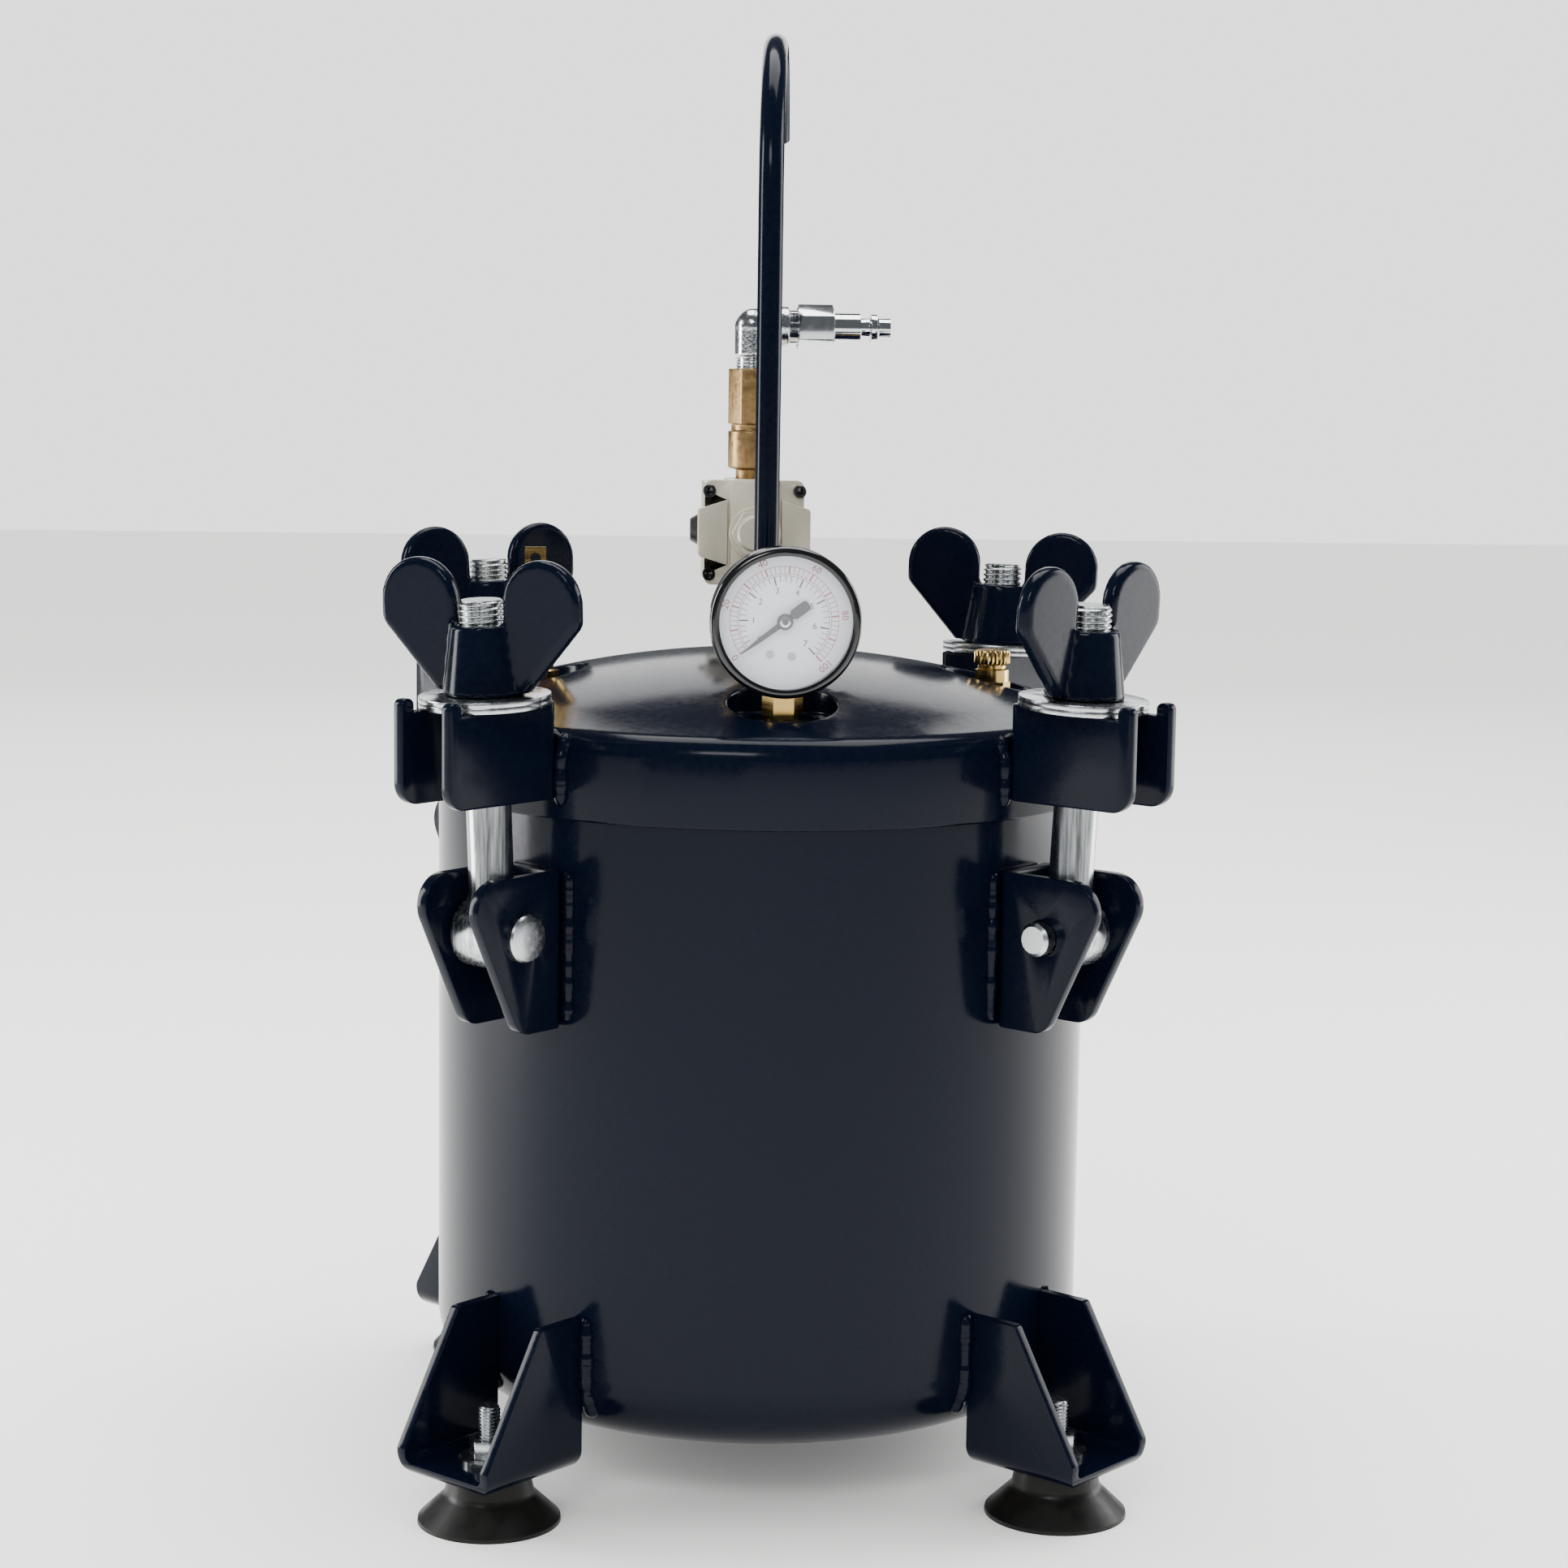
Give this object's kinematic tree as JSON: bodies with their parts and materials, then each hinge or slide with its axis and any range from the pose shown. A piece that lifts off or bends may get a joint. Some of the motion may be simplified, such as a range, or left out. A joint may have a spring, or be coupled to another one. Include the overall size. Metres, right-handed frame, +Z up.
{
  "type": "resin pressure pot",
  "caption": "Clamped steel pressure pot with a domed lid, wing-nut swing bolts, suction feet, a hook handle, a dial gauge and an air regulator.",
  "frame": {"origin": "on the floor, on the pot's axis", "axes": "+Z up, gauge faces -Y, inlet plug points to +X"},
  "size_m": [0.2847, 0.2763, 0.5382],
  "materials": {
    "navy_enamel": "gloss",
    "zinc_plate": "satin",
    "black_rubber": "matte",
    "bare_steel": "satin",
    "brass": "satin",
    "chrome_plate": "polished",
    "champagne_nickel": "satin",
    "black_plastic": "satin",
    "black_enamel": "gloss",
    "dial_white": "matte",
    "clear_lens": "polished"
  },
  "bodies": {
    "pot": {"bleed_valve_body": "brass", "clamp_bracket_back_left": "navy_enamel", "clamp_bracket_back_right": "navy_enamel", "clamp_bracket_front_left": "navy_enamel", "clamp_bracket_front_right": "navy_enamel", "clevis_pins": "zinc_plate", "foot_bracket_back_left": "navy_enamel", "foot_bracket_back_right": "navy_enamel", "foot_bracket_front_left": "navy_enamel", "foot_bracket_front_right": "navy_enamel", "foot_nuts": "zinc_plate", "foot_studs": "zinc_plate", "foot_washers": "zinc_plate", "gauge_bezel": "black_enamel", "gauge_case": "black_enamel", "gauge_dial": "dial_white", "gauge_dial_screws": "zinc_plate", "gauge_lens": "clear_lens", "gauge_stem": "brass", "handle_hook": "navy_enamel", "inlet_coupling": "brass", "inlet_elbow": "chrome_plate", "lid_bungs": "bare_steel", "lid_gasket": "black_rubber", "lid_lug_back_left": "navy_enamel", "lid_lug_back_right": "navy_enamel", "lid_lug_front_left": "navy_enamel", "lid_lug_front_right": "navy_enamel", "lid_shell": "navy_enamel", "lower_washers": "zinc_plate", "pot_shell": "navy_enamel", "quick_plug": "chrome_plate", "regulator_body": "champagne_nickel", "regulator_bonnet": "black_plastic", "regulator_cap": "champagne_nickel", "regulator_nipple": "brass", "regulator_screws": "zinc_plate", "regulator_side_plug": "black_plastic", "safety_valve_body": "brass", "suction_foot_back_left": "black_rubber", "suction_foot_back_right": "black_rubber", "suction_foot_front_left": "black_rubber", "suction_foot_front_right": "black_rubber", "swing_bolt_back_left": "zinc_plate", "swing_bolt_back_right": "zinc_plate", "swing_bolt_front_left": "zinc_plate", "swing_bolt_front_right": "zinc_plate"},
    "nut_lift_front_left": {"upper_washer_front_left": "zinc_plate"},
    "wing_nut_front_left": {"wing_nut_front_left": "navy_enamel"},
    "nut_lift_front_right": {"upper_washer_front_right": "zinc_plate"},
    "wing_nut_front_right": {"wing_nut_front_right": "navy_enamel"},
    "nut_lift_back_right": {"upper_washer_back_right": "zinc_plate"},
    "wing_nut_back_right": {"wing_nut_back_right": "navy_enamel"},
    "nut_lift_back_left": {"upper_washer_back_left": "zinc_plate"},
    "wing_nut_back_left": {"wing_nut_back_left": "navy_enamel"},
    "needle": {"gauge_needle": "black_plastic"},
    "knob": {"regulator_knob": "black_plastic"},
    "bleed_cap": {"bleed_valve_cap": "brass"},
    "safety_stem": {"safety_valve_stem": "brass"}
  },
  "joints": [
    {"name": "wing_nut_rise_front_left", "type": "slide", "parent": "pot", "child": "nut_lift_front_left", "axis": [-0.0376, -0.0376, 0.9986], "range_m": [0, 0.008]},
    {"name": "wing_nut_spin_front_left", "type": "hinge", "parent": "nut_lift_front_left", "child": "wing_nut_front_left", "pos_m": [-0.10465, -0.10465, 0.29749], "axis": [-0.0376, -0.0376, 0.9986], "range_deg": [0, 1441]},
    {"name": "wing_nut_rise_front_right", "type": "slide", "parent": "pot", "child": "nut_lift_front_right", "axis": [0.0376, -0.0376, 0.9986], "range_m": [0, 0.008]},
    {"name": "wing_nut_spin_front_right", "type": "hinge", "parent": "nut_lift_front_right", "child": "wing_nut_front_right", "pos_m": [0.10465, -0.10465, 0.29749], "axis": [0.0376, -0.0376, 0.9986], "range_deg": [0, 1441]},
    {"name": "wing_nut_rise_back_right", "type": "slide", "parent": "pot", "child": "nut_lift_back_right", "axis": [0.0376, 0.0376, 0.9986], "range_m": [0, 0.008]},
    {"name": "wing_nut_spin_back_right", "type": "hinge", "parent": "nut_lift_back_right", "child": "wing_nut_back_right", "pos_m": [0.10465, 0.10465, 0.29749], "axis": [0.0376, 0.0376, 0.9986], "range_deg": [0, 1441]},
    {"name": "wing_nut_rise_back_left", "type": "slide", "parent": "pot", "child": "nut_lift_back_left", "axis": [-0.0376, 0.0376, 0.9986], "range_m": [0, 0.008]},
    {"name": "wing_nut_spin_back_left", "type": "hinge", "parent": "nut_lift_back_left", "child": "wing_nut_back_left", "pos_m": [-0.10465, 0.10465, 0.29749], "axis": [-0.0376, 0.0376, 0.9986], "range_deg": [0, 1441]},
    {"name": "needle_sweep", "type": "hinge", "parent": "pot", "child": "needle", "pos_m": [0, -0.0925, 0.3223], "axis": [0, 1, 0], "range_deg": [0, 264], "stiffness_Nm_per_rad": 0.001},
    {"name": "regulator_knob_turn", "type": "hinge", "parent": "pot", "child": "knob", "pos_m": [0, 0.13, 0.3443], "axis": [0, 1, 0], "range_deg": [-720, 720]},
    {"name": "bleed_cap_turn", "type": "hinge", "parent": "pot", "child": "bleed_cap", "pos_m": [0.087, 0, 0.3], "axis": [0, 0, 1], "range_deg": [0, 720]},
    {"name": "safety_stem_pull", "type": "slide", "parent": "pot", "child": "safety_stem", "axis": [0, 0, 1], "range_m": [0, 0.002], "stiffness_N_per_m": 400, "springref_m": -0.002}
  ],
  "couplings": [
    {"joint": "wing_nut_spin_front_left", "follows": "wing_nut_rise_front_left", "rad_per_m": 3141.6},
    {"joint": "wing_nut_spin_front_right", "follows": "wing_nut_rise_front_right", "rad_per_m": 3141.6},
    {"joint": "wing_nut_spin_back_right", "follows": "wing_nut_rise_back_right", "rad_per_m": 3141.6},
    {"joint": "wing_nut_spin_back_left", "follows": "wing_nut_rise_back_left", "rad_per_m": 3141.6}
  ]
}
